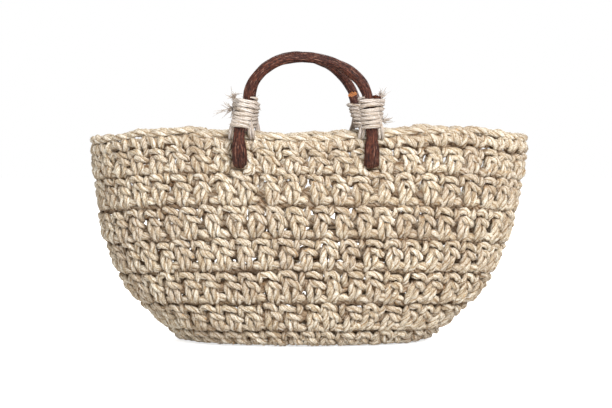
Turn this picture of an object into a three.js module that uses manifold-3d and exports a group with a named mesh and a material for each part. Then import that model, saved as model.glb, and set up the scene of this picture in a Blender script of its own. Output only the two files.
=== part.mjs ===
// A crocheted basket handbag with two bent cane handles, each tied to the mouth by two twine lashings.
// Millimetres, +Z up, the front wall towards -Y, and the middle of the flat base at the origin.
import * as THREE from "three";
import Module from "manifold-3d";

const wasm = await Module();
wasm.setup();

// Crocheted body, measured over the outside of the yarn.
const MOUTH_LENGTH = 402;
const MOUTH_DEPTH = 196;
const BASE_LENGTH = 194;
const BASE_DEPTH = 92;
const BASE_THICKNESS = 9;
const WALL_THICKNESS = 9.5;

// Height that each wall round gains at the middle of the front, from the base up, and the edging round on top.
const ROUND_HEIGHTS = [15, 26.5, 30, 28.5, 28.5, 27, 24.5];
const RIM_HEIGHT = 11;

// Plan outline: 2 is an ellipse, and a higher power squares the corners.
const PLAN_POWER = 2.25;

// Side outline: a round lower corner that runs into a slightly flared wall.
const CORNER_FULLNESS = 1.8;
const CORNER_POWER = 0.53;
const STRAIGHT_SHARE = 0.11;

// Soft shape: how far the ends of the rounds hang, how the mouth waves, and how far the base stands to the left.
const END_SAG = 8;
const MOUTH_END_DROP = 4;
const MOUTH_WAVE = 4.5;
const SIDE_LEAN = 4;

// The groove between two rounds, and the clear line that parts their solids.
const GROOVE_DEPTH = 1.6;
const ROUND_GAP = 0.3;

// Cane handles.
const CANE_DIAMETER = 9;
const HOOK_WIDTH = 12.6;
const HOOK_THICKNESS = 7.4;
const LEG_SPACING = 113;
const LEG_INSET = 5;
const HANDLE_SHIFT = -2.4;
const HOOK_DEPTH = 32;
const HOOK_TAPER_DEPTH = 4;
const ARCH_START = 24;
const STUB_GAP = 1;
const CANE_CLEARANCE = 0.5;
const HOLE_CLEARANCE = 0.6;

// Twine lashings.
const TWINE_DIAMETER = 2.7;
const FRONT_LASH_TURNS = 7.5;
const REAR_LASH_TURNS = 6.5;
const LASH_PITCH = 3.4;
const LASH_CLEARANCE = 0.6;
const TAIL_LENGTH = 9;

// Each arch: how high it rises, how far its feet stand to the side of the bag's middle, and how far its top
// leans along X. A higher power keeps the lean near the top.
const FRONT_ARCH = { rise: 39, shift: -0.4, lean: -5, power: 3 };
const REAR_ARCH = { rise: 48, shift: -3.6, lean: -7.5, power: 1 };

// Each cut stub: how far its end stands above the middle of the lashing's last turn, and how far it leans along X.
const FRONT_STUBS = { left: { proud: 1.2, lean: 3 }, right: { proud: 4.6, lean: 4.5 } };
const REAR_STUBS = { left: { proud: 1.5, lean: 4 }, right: { proud: 13.5, lean: -12 } };

const HANDLES = [
  { name: "front", side: -1, arch: FRONT_ARCH, stubs: FRONT_STUBS, lashTurns: FRONT_LASH_TURNS },
  { name: "rear", side: 1, arch: REAR_ARCH, stubs: REAR_STUBS, lashTurns: REAR_LASH_TURNS },
];

// Facets.
const PLAN_STEPS = 56;
const ROUND_OUTER_STEPS = [1, 0.86, 0.5, 0.14, 0];
const ROUND_INNER_STEPS = [0, 0.5, 1];
const CANE_SIDES = 10;
const CANE_STEPS_PER_POINT = 2;
const LASH_STEPS = 22;
const LASH_SIDES = 6;

const wallHeight = ROUND_HEIGHTS.reduce((sum, height) => sum + height, 0);
const mouthHeight = wallHeight + RIM_HEIGHT;
const SMALL_STEP = 1e-4;

const yarn = new THREE.MeshStandardMaterial({ color: 0xc9b896, roughness: 0.95, metalness: 0 });
const cane = new THREE.MeshStandardMaterial({ color: 0x4a2318, roughness: 0.45, metalness: 0 });
const twine = new THREE.MeshStandardMaterial({ color: 0xe4dccb, roughness: 0.95, metalness: 0 });

// How far the outline has opened from the base, 0, to the mouth, 1, at a height.
function opened(height) {
  const rise = Math.min(height / wallHeight, 1);
  const corner = (1 - (1 - rise) ** CORNER_FULLNESS) ** CORNER_POWER;
  return (1 - STRAIGHT_SHARE) * corner + (STRAIGHT_SHARE * height) / mouthHeight;
}

function halfLengthAt(height) {
  return (BASE_LENGTH + (MOUTH_LENGTH - BASE_LENGTH) * opened(height)) / 2;
}

function halfDepthAt(height) {
  return (BASE_DEPTH + (MOUTH_DEPTH - BASE_DEPTH) * opened(height)) / 2;
}

// How far the yarn hangs below its height at the middle, at a share of the half length.
function sagAt(along, height) {
  const share = height / mouthHeight;
  const ends = END_SAG * 4 * share * (1 - share) * along ** 2;
  const corners = MOUTH_END_DROP * share * along ** 6;
  const wave = MOUTH_WAVE * share ** 3 * Math.sin(Math.PI * along ** 1.3) ** 2;
  return ends + corners - wave;
}

function leanAt(height) {
  return SIDE_LEAN * (1 - height / mouthHeight);
}

// A point on the outside of the body. The step grows with the square root of the height, because
// the wall leaves the base level.
function wallPoint(turn, step) {
  const height = step ** 2 * wallHeight;
  const c = Math.cos(turn);
  const s = Math.sin(turn);
  const reach = (Math.abs(c) ** PLAN_POWER + Math.abs(s) ** PLAN_POWER) ** (-1 / PLAN_POWER);
  const along = Math.abs(c) * reach;
  return new THREE.Vector3(
    halfLengthAt(height) * c * reach - leanAt(height),
    halfDepthAt(height) * s * reach,
    height - sagAt(along, height),
  );
}

// A point a given distance outside the body's surface, or inside it where the distance is negative.
function offsetPoint(turn, height, distance) {
  const step = Math.sqrt(height / wallHeight);
  const lower = Math.max(step - SMALL_STEP, 0);
  const up = wallPoint(turn, step + SMALL_STEP).sub(wallPoint(turn, lower));
  const round = wallPoint(turn + SMALL_STEP, step).sub(wallPoint(turn - SMALL_STEP, step));
  const outward = round.cross(up).normalize();
  return wallPoint(turn, step).addScaledVector(outward, distance);
}

// Height of the mouth's edge at a place along X.
function mouthEdgeAt(x) {
  const along = Math.min(Math.abs(x) / halfLengthAt(mouthHeight), 1);
  return mouthHeight - sagAt(along, mouthHeight);
}

// Depth from the middle to the outside of the wall at a place along X.
function wallDepthAt(x, height) {
  const along = Math.min(Math.abs(x) / halfLengthAt(height), 1);
  return halfDepthAt(height) * (1 - along ** PLAN_POWER) ** (1 / PLAN_POWER);
}

// A closed surface through rows of points, each row a closed loop that turns left seen from the next row.
function surface(rows, isRing) {
  const sides = rows[0].length;
  const vertices = rows.flat();
  const faces = [];
  const last = isRing ? rows.length : rows.length - 1;
  for (let i = 0; i < last; i += 1) {
    const here = i * sides;
    const next = ((i + 1) % rows.length) * sides;
    for (let j = 0; j < sides; j += 1) {
      const k = (j + 1) % sides;
      faces.push(here + j, here + k, next + k, here + j, next + k, next + j);
    }
  }
  if (!isRing) {
    const top = (rows.length - 1) * sides;
    vertices.push(middle(rows[0]), middle(rows[rows.length - 1]));
    for (let j = 0; j < sides; j += 1) {
      const k = (j + 1) % sides;
      faces.push(vertices.length - 2, k, j, vertices.length - 1, top + j, top + k);
    }
  }
  return new THREE.BufferGeometry().setFromPoints(vertices).setIndex(faces);
}

function middle(points) {
  const sum = new THREE.Vector3();
  points.forEach((point) => sum.add(point));
  return sum.divideScalar(points.length);
}

// The oval panel that the work starts from. Its outline is the foot of the first round.
function baseGeometry() {
  const outline = (height, inset) => {
    const row = [];
    for (let i = 0; i < PLAN_STEPS; i += 1) {
      const point = wallPoint((i / PLAN_STEPS) * 2 * Math.PI, 0);
      const inward = new THREE.Vector3(-SIDE_LEAN - point.x, -point.y, 0).normalize();
      row.push(point.addScaledVector(inward, inset).setZ(height));
    }
    return row;
  };
  return surface(
    [
      outline(0, ROUND_GAP + GROOVE_DEPTH / 2),
      outline(GROOVE_DEPTH / 2, ROUND_GAP),
      outline(BASE_THICKNESS, ROUND_GAP),
    ],
    false,
  );
}

// One crocheted round: a ring that bulges between the grooves above and below it.
function roundGeometry(from, to) {
  const foot = from + ROUND_GAP / 2;
  const tall = to - from - ROUND_GAP;
  const rows = [];
  for (let i = 0; i < PLAN_STEPS; i += 1) {
    const turn = (i / PLAN_STEPS) * 2 * Math.PI;
    const outer = ROUND_OUTER_STEPS.map((share) => {
      const bulge = 1 - Math.abs(2 * share - 1) ** 3;
      return offsetPoint(turn, foot + share * tall, GROOVE_DEPTH * (bulge - 0.6));
    });
    const inner = ROUND_INNER_STEPS.map((share) =>
      offsetPoint(turn, foot + share * tall, -WALL_THICKNESS),
    );
    rows.push([...outer, ...inner]);
  }
  return surface(rows, true);
}

function solidOf(geometry) {
  return new wasm.Manifold(
    new wasm.Mesh({
      numProp: 3,
      vertProperties: new Float32Array(geometry.getAttribute("position").array),
      triVerts: new Uint32Array(geometry.index.array),
    }),
  );
}

function geometryOf(solid) {
  const mesh = solid.getMesh();
  return new THREE.BufferGeometry()
    .setAttribute("position", new THREE.BufferAttribute(new Float32Array(mesh.vertProperties), 3))
    .setIndex(new THREE.BufferAttribute(new Uint32Array(mesh.triVerts), 1));
}

// Where a handle's leg stands outside the wall and its stub inside, and the bend that joins them. One leg
// is nearer the middle, where the wall is deeper, and both clear the wall.
function seatOf(handle) {
  const legX = LEG_SPACING / 2;
  const nearX = legX - Math.abs(HANDLE_SHIFT);
  const farX = legX + Math.abs(HANDLE_SHIFT);
  const mouthEdge = mouthEdgeAt(legX);
  const hookFoot = mouthEdge - HOOK_DEPTH;
  const outside = Math.max(wallDepthAt(nearX, wallHeight), wallDepthAt(nearX, mouthHeight));
  const inside = wallDepthAt(farX, hookFoot) - WALL_THICKNESS;
  const legDepth = outside + GROOVE_DEPTH / 2 + CANE_CLEARANCE + CANE_DIAMETER / 2;
  const stubDepth = inside - CANE_CLEARANCE - CANE_DIAMETER / 2;
  const bendRadius = (legDepth - stubDepth) / 2;
  const lashRadius = CANE_DIAMETER / 2 + LASH_CLEARANCE + TWINE_DIAMETER / 2;
  const highestEdge = Math.max(mouthEdgeAt(legX - lashRadius), mouthEdgeAt(farX + 2 * lashRadius));
  const lashFoot = highestEdge + LASH_CLEARANCE + TWINE_DIAMETER / 2;
  return {
    legX,
    lashRadius,
    lashFoot,
    lashTop: lashFoot + handle.lashTurns * LASH_PITCH,
    mouthEdge,
    hookFoot,
    legY: handle.side * legDepth,
    stubY: handle.side * stubDepth,
    stubTopY: handle.side * (legDepth - CANE_DIAMETER - STUB_GAP),
    bendY: (handle.side * (legDepth + stubDepth)) / 2,
    bendRadius,
    bendZ: hookFoot + HOOK_THICKNESS / 2 + bendRadius,
    archStart: mouthEdge + ARCH_START,
  };
}

// Half of a handle's middle line, from its stub's cut end, down inside, through the wall, and up to the arch.
function legLine(handle, end) {
  const seat = seatOf(handle);
  const sign = end === "left" ? -1 : 1;
  const x = sign * seat.legX + HANDLE_SHIFT;
  const stub = handle.stubs[end];
  const stubTop = new THREE.Vector3(x + stub.lean, seat.stubTopY, seat.lashTop + stub.proud);
  const stubFoot = new THREE.Vector3(x, seat.stubY, seat.mouthEdge);
  const points = [0, 1 / 3, 2 / 3, 1].map((share) => stubTop.clone().lerp(stubFoot, share));
  for (let i = 0; i <= 6; i += 1) {
    const turn = (i / 6) * Math.PI;
    const across = Math.cos(turn) * (seat.stubY - seat.bendY);
    const down = Math.sin(turn) * seat.bendRadius;
    points.push(new THREE.Vector3(x, seat.bendY + across, seat.bendZ - down));
  }
  points.push(new THREE.Vector3(x, seat.legY, seat.mouthEdge));
  return points;
}

// The whole middle line of a handle, stub to stub, with the arch as half an ellipse that leans.
function caneLine(handle) {
  const seat = seatOf(handle);
  const arch = [];
  for (let i = 0; i <= 12; i += 1) {
    const turn = Math.PI - (i / 12) * Math.PI;
    const share = Math.sin(turn);
    const lean = handle.arch.lean * share ** handle.arch.power;
    const x = Math.cos(turn) * (seat.legX - LEG_INSET) + handle.arch.shift + lean;
    arch.push(new THREE.Vector3(x, seat.legY, seat.archStart + share * handle.arch.rise));
  }
  const knots = [...legLine(handle, "left"), ...arch, ...legLine(handle, "right").reverse()];
  const curve = new THREE.CatmullRomCurve3(knots, false, "centripetal");
  return curve.getPoints((knots.length - 1) * CANE_STEPS_PER_POINT);
}

// How far the cane is flattened and widened at a height: 0 above the mouth, 1 in the bend.
function flattening(seat, z) {
  const from = seat.mouthEdge - HOOK_TAPER_DEPTH;
  const to = seat.bendZ;
  return THREE.MathUtils.smoothstep(from - z, 0, from - to);
}

// Rows of a section carried along a line without twist, from its first width direction.
function sweepRows(line, sides, firstWidth, halfSizes) {
  const rows = [];
  let width = firstWidth;
  line.forEach((point, i) => {
    const before = line[Math.max(i - 1, 0)];
    const after = line[Math.min(i + 1, line.length - 1)];
    const along = after.clone().sub(before).normalize();
    width = width.clone().addScaledVector(along, -width.dot(along)).normalize();
    const thick = width.clone().cross(along);
    const half = halfSizes(point);
    const row = [];
    for (let j = 0; j < sides; j += 1) {
      const turn = (j / sides) * 2 * Math.PI;
      row.push(
        point
          .clone()
          .addScaledVector(thick, Math.cos(turn) * half.thickness)
          .addScaledVector(width, Math.sin(turn) * half.width),
      );
    }
    rows.push(row);
  });
  return rows;
}

function caneGeometry(handle, line, clearance) {
  const seat = seatOf(handle);
  const rows = sweepRows(line, CANE_SIDES, new THREE.Vector3(1, 0, 0), (point) => {
    const flat = flattening(seat, point.z);
    return {
      width: THREE.MathUtils.lerp(CANE_DIAMETER, HOOK_WIDTH, flat) / 2 + clearance,
      thickness: THREE.MathUtils.lerp(CANE_DIAMETER, HOOK_THICKNESS, flat) / 2 + clearance,
    };
  });
  return surface(rows, false);
}

// Where a line crosses a height, searched from one of its ends.
function crossing(line, z) {
  for (let i = 1; i < line.length; i += 1) {
    const a = line[i - 1];
    const b = line[i];
    if ((a.z - z) * (b.z - z) <= 0 && a.z !== b.z) {
      return a.clone().lerp(b, (z - a.z) / (b.z - a.z));
    }
  }
  throw new Error("the line does not reach that height");
}

// The middle line of a lashing: turns wound up round a leg and its stub, from inside the bag to the front
// of the leg, where a straight tail leaves them.
function lashLine(handle, end, caneMiddle) {
  const seat = seatOf(handle);
  const sign = end === "left" ? -1 : 1;
  const fromStub = end === "left" ? caneMiddle : [...caneMiddle].reverse();
  const bend = fromStub.findIndex((point) => point.z < seat.bendZ);
  const stubPart = fromStub.slice(0, bend);
  const legPart = fromStub.slice(bend);
  const stub = handle.stubs[end];
  const stubRise = seat.lashTop + stub.proud - seat.mouthEdge;
  const stubReach = new THREE.Vector3(stub.lean, seat.stubTopY - seat.stubY, stubRise);
  const stubRadius = seat.lashRadius + (stubReach.length() / stubRise - 1) * (CANE_DIAMETER / 2);
  const arcPoints = LASH_STEPS / 2;
  const line = [];
  const sideways = [];
  for (let i = 0; i <= handle.lashTurns * LASH_STEPS; i += 1) {
    const z = seat.lashFoot + (i / LASH_STEPS) * LASH_PITCH;
    const step = (i + LASH_STEPS - (arcPoints - 1) / 2) % LASH_STEPS;
    const roundStub = step >= arcPoints;
    const turn = Math.PI * (roundStub ? 1 + (step - arcPoints) / (arcPoints - 1) : step / (arcPoints - 1));
    const legMiddle = crossing(legPart, z);
    const stubMiddle = crossing(stubPart, z);
    const outward = legMiddle.clone().sub(stubMiddle).normalize();
    const reach = roundStub ? stubRadius : seat.lashRadius;
    const across = new THREE.Vector3(Math.abs(outward.y), -outward.x * handle.side, 0).multiplyScalar(sign);
    sideways.push(across);
    line.push(
      (roundStub ? stubMiddle : legMiddle)
        .clone()
        .addScaledVector(across, -Math.cos(turn) * reach)
        .addScaledVector(outward, Math.sin(turn) * reach),
    );
  }
  const head = line.at(0).clone().addScaledVector(sideways.at(0), TWINE_DIAMETER);
  const tail = line.at(-1).clone().addScaledVector(sideways.at(-1), TAIL_LENGTH);
  return [head, ...line, tail];
}

// The least gap between turns, on points of the middle line half a turn or more apart.
function leastGap(line) {
  let least = Infinity;
  const apart = LASH_STEPS / 2;
  for (let i = 0; i < line.length; i += 1) {
    for (let j = i + apart; j < line.length - 1; j += 1) {
      const stretch = new THREE.Line3(line[j], line[j + 1]);
      const near = stretch.closestPointToPoint(line[i], true, new THREE.Vector3());
      least = Math.min(least, near.distanceTo(line[i]));
    }
  }
  return least - TWINE_DIAMETER;
}

function lashGeometry(line) {
  const rows = sweepRows(line, LASH_SIDES, new THREE.Vector3(0, 0, 1), () => ({
    width: TWINE_DIAMETER / 2,
    thickness: TWINE_DIAMETER / 2,
  }));
  return surface(rows, false);
}

function addMesh(group, name, geometry, material) {
  const mesh = new THREE.Mesh(geometry, material);
  mesh.name = name;
  group.add(mesh);
}

const bag = new THREE.Group();
const body = new THREE.Group();
bag.add(body);

const caneLines = HANDLES.map(caneLine);
const holes = HANDLES.map((handle, i) => solidOf(caneGeometry(handle, caneLines[i], HOLE_CLEARANCE)));

// The rounds from the base up, each opened where a cane passes through it.
function addRound(name, from, to) {
  const cut = holes.reduce((solid, hole) => solid.subtract(hole), solidOf(roundGeometry(from, to)));
  addMesh(body, name, geometryOf(cut), yarn);
}

addMesh(body, "base_oval", baseGeometry(), yarn);
let foot = 0;
ROUND_HEIGHTS.forEach((height, i) => {
  addRound("wall_round_" + (i + 1), foot, foot + height);
  foot += height;
});
addRound("rim_round", foot, foot + RIM_HEIGHT);

HANDLES.forEach((handle, i) => {
  const group = new THREE.Group();
  bag.add(group);
  addMesh(group, handle.name + "_cane_handle", caneGeometry(handle, caneLines[i], 0), cane);
  ["left", "right"].forEach((end) => {
    const line = lashLine(handle, end, caneLines[i]);
    addMesh(group, handle.name + "_" + end + "_lashing", lashGeometry(line), twine);
    console.log(handle.name, end, "lashing: least gap between turns", leastGap(line).toFixed(2), "mm");
  });
});

export default bag;
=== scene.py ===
"""A crocheted basket handbag: plied yarn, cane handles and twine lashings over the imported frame."""

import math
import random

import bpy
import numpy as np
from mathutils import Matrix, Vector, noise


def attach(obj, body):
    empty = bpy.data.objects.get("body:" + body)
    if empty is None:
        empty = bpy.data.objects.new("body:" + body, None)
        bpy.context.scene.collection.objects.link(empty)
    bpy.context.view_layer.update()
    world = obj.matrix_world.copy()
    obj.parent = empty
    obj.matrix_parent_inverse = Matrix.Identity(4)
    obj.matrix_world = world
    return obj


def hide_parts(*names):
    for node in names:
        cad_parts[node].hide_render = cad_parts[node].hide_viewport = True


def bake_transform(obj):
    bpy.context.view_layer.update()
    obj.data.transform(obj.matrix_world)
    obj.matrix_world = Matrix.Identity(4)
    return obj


bl_info = {
    "name": "Crocheted basket handbag",
    "version": (1, 0, 0),
    "blender": (4, 5, 0),
    "location": "3D View > Sidebar > Basket bag",
    "description": "Works the yarn, cane handles, lashings and studio of a crocheted basket handbag",
    "category": "Add Mesh",
}

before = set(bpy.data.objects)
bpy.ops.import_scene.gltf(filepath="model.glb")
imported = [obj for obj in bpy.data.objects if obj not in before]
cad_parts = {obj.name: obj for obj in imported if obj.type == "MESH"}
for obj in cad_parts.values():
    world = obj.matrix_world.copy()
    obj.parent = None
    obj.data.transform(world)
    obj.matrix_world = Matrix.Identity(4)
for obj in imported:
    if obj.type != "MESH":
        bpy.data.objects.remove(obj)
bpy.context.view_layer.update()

MM = 0.001

# The body in millimetres, with the same values as the part's source.
MOUTH_LENGTH = 402
MOUTH_DEPTH = 196
BASE_LENGTH = 194
BASE_DEPTH = 92
WALL_THICKNESS = 9.5
ROUND_HEIGHTS = [15, 26.5, 30, 28.5, 28.5, 27, 24.5]
RIM_HEIGHT = 11
WALL_HEIGHT = sum(ROUND_HEIGHTS)
MOUTH_HEIGHT = WALL_HEIGHT + RIM_HEIGHT
PLAN_POWER = 2.25
CORNER_FULLNESS = 1.8
CORNER_POWER = 0.53
STRAIGHT_SHARE = 0.11
END_SAG = 8
MOUTH_END_DROP = 4
MOUTH_WAVE = 4.5
SIDE_LEAN = 4
GROOVE_DEPTH = 1.6
SMALL_STEP = 1e-4

# The handles and windings in millimetres, with the same values as the part's source.
CANE_DIAMETER = 9
HOOK_WIDTH = 12.6
HOOK_THICKNESS = 7.4
LEG_SPACING = 113
LEG_INSET = 5
HANDLE_SHIFT = -2.4
HOOK_DEPTH = 32
HOOK_TAPER_DEPTH = 4
ARCH_START = 24
STUB_GAP = 1
CANE_CLEARANCE = 0.5
TWINE_DIAMETER = 2.7
LASH_PITCH = 3.4
LASH_CLEARANCE = 0.6
FRONT_ARCH = {"rise": 39, "shift": -0.4, "lean": -5, "power": 3}
REAR_ARCH = {"rise": 48, "shift": -3.6, "lean": -7.5, "power": 1}

# Each cut stub. How far it stands over its lashing and leans is as in the part's source. Its slant is how
# much higher one side of the cut face is than the other.
FRONT_STUBS = {
    "left": {"proud": 1.2, "lean": 3, "slant": -6},
    "right": {"proud": 4.6, "lean": 4.5, "slant": -7},
}
REAR_STUBS = {
    "left": {"proud": 1.5, "lean": 4, "slant": -4},
    "right": {"proud": 13.5, "lean": -12, "slant": 8},
}
HANDLES = [
    {"name": "front", "side": -1, "arch": FRONT_ARCH, "stubs": FRONT_STUBS, "lash_turns": 7.5},
    {"name": "rear", "side": 1, "arch": REAR_ARCH, "stubs": REAR_STUBS, "lash_turns": 6.5},
]

# How finely the cane's middle line is worked out: the spans of its bend and its arch, and the steps of a
# span where yarn makes way for it, and where it is made itself.
BEND_KNOTS = 6
ARCH_KNOTS = 12
CANE_STEPS = 12
CANE_FINE_STEPS = 16

# Samples of a round's outline, from which stitches get even spaces.
OUTLINE_SAMPLES = 1441

# How far the ends of the body are drawn in at each height, in millimetres. That starts at a share of the
# half length and is complete a span further on.
END_TUCK_HEIGHTS = [6, 14, 26, 36, 52, 112, 126, 178, 190]
LEFT_TUCK = [0, 6, 6, 4, 0, 0, 3.2, 3.2, 2]
RIGHT_TUCK = [0, 5, 5, 3, 0, 0, 1.2, 1.2, 1.2]
TUCK_START = 0.55
TUCK_SPAN = 0.4

# The edging in millimetres: it starts a little below the top of the wall, rises to the right and dips at
# the middle.
EDGING_DROP = 3.5
EDGING_TILT = 1.3
EDGING_DIP = {"depth": 1.5, "half_length": 60}

# The stitches of the base reach in to this share of its outline.
BASE_MIDDLE = 0.02

# The middle of a strand stays this many of its own radii above the floor, because its plies are uneven.
FLOOR_ROOM = 1.36

# Yarn that makes way for a cane moves along the wall more than through it, and less where it lies nearer
# to the cane's middle line than a small distance in millimetres.
ASIDE_THROUGH_WALL = 0.3
NEAR_MIDDLE = 0.1

# How yarn and twine are plied: the plies, the points on each, the depth of the grooves as a share of the
# radius, the height of the rough fibres in metres and the unevenness as a share of the width. The step
# between two rings of the twine's surface is in metres.
YARN_PLIES = {"Plies": 3, "Points per ply": 6, "Ply groove": 0.17, "Roughness": 0.0006, "Unevenness": 0.2}
TWINE_PLIES = {"Plies": 5, "Points per ply": 4, "Ply groove": 0.16, "Roughness": 0.0001, "Unevenness": 0.22}
TWINE_STEP = 0.0009
STRAND_SEED = 1.0

# The relief that fibres and cracks give to each surface, in metres.
YARN_RELIEF = 0.0008
TWINE_RELIEF = 0.0004
BARK_RELIEF = 0.0009

# Stitches in each round of the wall, from the base up, in the two rounds of the base and in the edging.
# The lowest rounds of the wall are worked closely and have filling strands.
ROUND_STITCHES = [36, 40, 44, 47, 49, 48, 48]
BASE_STITCHES = [18, 30]
RIM_STITCHES = 48
FILLED_ROUNDS = 3

# How one stitch differs from the next, as shares of a stitch, and how far each point of its yarn strays
# across and up, in the same shares, and through the wall, in millimetres.
STITCH_SHIFT = 0.08
STITCH_LIFT = 0.04
STITCH_SPREAD = (0.88, 1.14)
STITCH_SLANT = 0.2
STITCH_DROOP = 0.09
STRAY_ACROSS = 0.045
STRAY_UP = 0.03
STRAY_DEPTH = 0.35
HEAD_LIFT = 0.09
HEAD_STRAY = (0.08, 0.05, 0.2)

# The cane swells, dents and wrinkles by these heights over these lengths, in millimetres. The larger the
# number round it, the more of them fit round the cane. A second set of wrinkles is finer and less deep.
SWELL_HEIGHT = 0.35
SWELL_LENGTH = 26
DENT_HEIGHT = 0.35
DENT_LENGTH = 9
DENT_ROUND = 0.8
WRINKLE_LENGTH = 22
WRINKLE_ROUND = 2.4
WRINKLE_FINER = 2.1
FINER_SHARE = 0.5

# How far on in each pattern the second cane starts, so that the two differ.
SWELL_SHIFT = 9
DENT_SHIFT = 31
WRINKLE_SHIFT = 50
CUT_SHIFT = 7

# The cut ends in millimetres: the length of cane that takes up the slant, how ragged the edge is, and how
# finely. The way into the cane is taken over a few rings.
CUT_LENGTH = 14
CUT_RAGGED = 2.0
CUT_PORES = 5
CUT_RINGS = 5

# The windings: the steps of a turn and the step at which the twine starts, how far in millimetres it lies
# off the cane and wanders, how much more it wanders up and down, and over how many steps.
LASH_STEPS = 24
LASH_START = 5.5
LASH_SEAT = 0.15
LASH_WANDER = 0.8
WANDER_RISE = 1.6
WANDER_STEPS = 9

# The ends of a winding narrow over a few steps, to a share of its width.
LASH_END_STEPS = 6
LASH_END_WIDTH = 0.3

# The strands that tie a lashing down over the edge of the mouth: how many on each side of the leg, their
# places in millimetres and their width as a share of the twine's. The last line says how far from the
# middle of the bag they lie, as shares of the leg's distance.
RIM_STRANDS = 2
RIM_STRAND_REACH = 6.5
RIM_STRAND_SPACING = 2.6
RIM_STRAND_STRAY = 0.5
RIM_STRAND_FLARE = 0.8
RIM_STRAND_START = 6
RIM_STRAND_RISE = 3
RIM_STRAND_OVER = 1
RIM_STRAND_DEPTH = 5
RIM_STRAND_TUCK = 1
RIM_STRAND_WIDTH = 0.8
RIM_STRAND_SHARES = {"top": 0.985, "over": 0.995, "low": 0.955, "inside": 0.9}

# The loose tails of the twine and the fibres that they fray into, in millimetres. Each fray starts at a
# share of the lashing's height. Its fibres run outwards and up, and spread. Widths are shares of the
# twine's.
TAIL_LENGTH = 3
TAIL_WIDTHS = np.array([0.9, 0.75, 0.55, 0.3])
FRAY_WIDTHS = np.array([0.20, 0.18, 0.16, 0.14, 0.11, 0.06])
FRAY_REACH = (0.35, 1.15)
FRAY_CURL = 0.6
FRAY_ROOT = 0.8
FRAY_OFF_WALL = 0.25
SIDE_FRAY = {"out": 1.0, "rise": -0.1, "fibres": 24, "spread": 0.5}
TOP_FRAY = {"out": 0.25, "rise": 0.9, "fibres": 30, "spread": 0.45}
FRAYS = {
    "left": [{**SIDE_FRAY, "at": 0.62, "length": 7.0}, {**TOP_FRAY, "at": 0.97, "length": 5.5}],
    "right": [{**SIDE_FRAY, "at": 0.24, "length": 4.5}, {**TOP_FRAY, "at": 0.97, "length": 5.5}],
}

# The short fibres that stand off the turns of a lashing: their length in millimetres and shares of it,
# how much they point outwards and spread, and how deep in the twine they start.
LINT_HAIRS = 40
LINT_LENGTH = 2.6
LINT_REACH = (0.4, 1.2)
LINT_OUT = 0.6
LINT_SPREAD = 0.5
LINT_ROOT = 0.4

# The studio in metres and degrees, with the camera's sensor in millimetres. The camera looks down a
# little, as in the photograph.
CAMERA_PLACE = (-0.0020, -1.45, 0.2021)
CAMERA_DIP = 3.04
SENSOR_WIDTH = 36
CLIP_START = 0.01
LAMP_TARGET = (0, 0, 0.1)
LAMPS = [
    {"name": "key", "size": 1.0, "place": (0.6, -1.5, 1.2)},
    {"name": "fill", "size": 1.6, "place": (-1.6, -1.2, 0.8)},
    {"name": "back", "size": 1.6, "place": (0.4, 1.7, 0.9)},
]
FLOOR_REACH = 4.0
FLOOR_GLOW = 0.75

# One double crochet: its yarn from stitch to stitch, as (across, up, depth, width). Across and up are
# shares of the stitch, depth is in millimetres from the outside of the wall, and width is a share of the
# yarn's.
STITCH_YARN = [
    (-0.04, 0.87, 6.8, 0.60),
    (-0.02, 0.87, 5.0, 0.80),
    (0.05, 0.885, 3.1, 0.98),
    (0.18, 0.90, 2.3, 1.08),
    (0.35, 0.885, 2.0, 1.14),
    (0.52, 0.825, 2.2, 1.10),
    (0.64, 0.75, 3.7, 0.90),
    (0.60, 0.70, 6.2, 0.65),
    (0.42, 0.74, 7.0, 0.60),
    (0.27, 0.73, 6.0, 0.70),
    (0.26, 0.69, 4.2, 0.96),
    (0.34, 0.67, 2.8, 1.15),
    (0.47, 0.63, 2.1, 1.22),
    (0.62, 0.575, 1.9, 1.18),
    (0.75, 0.50, 2.3, 1.04),
    (0.82, 0.44, 4.1, 0.80),
    (0.76, 0.40, 6.4, 0.62),
    (0.48, 0.52, 7.2, 0.65),
    (0.12, 0.71, 6.8, 0.62),
    (0.15, 0.70, 5.0, 0.78),
    (0.16, 0.62, 3.4, 0.98),
    (0.17, 0.51, 2.4, 1.14),
    (0.20, 0.37, 2.0, 1.26),
    (0.24, 0.22, 2.0, 1.24),
    (0.28, 0.08, 2.9, 1.02),
    (0.32, -0.01, 4.9, 0.74),
    (0.42, -0.04, 6.8, 0.62),
    (0.50, 0.00, 4.9, 0.76),
    (0.54, 0.09, 3.0, 1.00),
    (0.56, 0.21, 2.1, 1.18),
    (0.55, 0.36, 2.2, 1.20),
    (0.52, 0.50, 4.4, 0.96),
    (0.62, 0.54, 6.9, 0.62),
    (0.78, 0.60, 6.6, 0.62),
    (0.84, 0.625, 4.6, 0.82),
    (0.865, 0.71, 3.1, 0.98),
    (0.875, 0.83, 2.8, 1.02),
    (0.87, 0.91, 4.4, 0.84),
    (0.90, 0.91, 6.6, 0.60),
]

# The bar that the stitches of a round stand on, and the loop behind their heads.
BAR_YARN = [
    (0.22, 0.10, 7.0, 0.65),
    (0.50, 0.11, 6.8, 0.65),
    (0.64, 0.13, 5.0, 0.95),
    (0.74, 0.155, 3.3, 1.25),
    (0.88, 0.175, 2.8, 1.40),
    (1.01, 0.155, 3.3, 1.25),
    (1.09, 0.13, 5.2, 0.90),
]
BACK_YARN = [
    (0.00, 0.90, 7.0, 0.8),
    (0.25, 0.95, 7.4, 0.8),
    (0.50, 0.90, 7.2, 0.8),
    (0.75, 0.94, 7.4, 0.8),
]

# The strands that fill the gaps of the closely worked base and lowest rounds, and those between the
# rounds.
FILL_YARN = [
    (0.00, 0.60, 7.0, 1.6),
    (0.25, 0.38, 7.2, 1.6),
    (0.50, 0.60, 7.0, 1.6),
    (0.75, 0.38, 7.2, 1.6),
]
SEAM_YARN = [(0.00, 0.00, 7.4, 1.4), (0.50, 0.03, 7.2, 1.4)]

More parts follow.
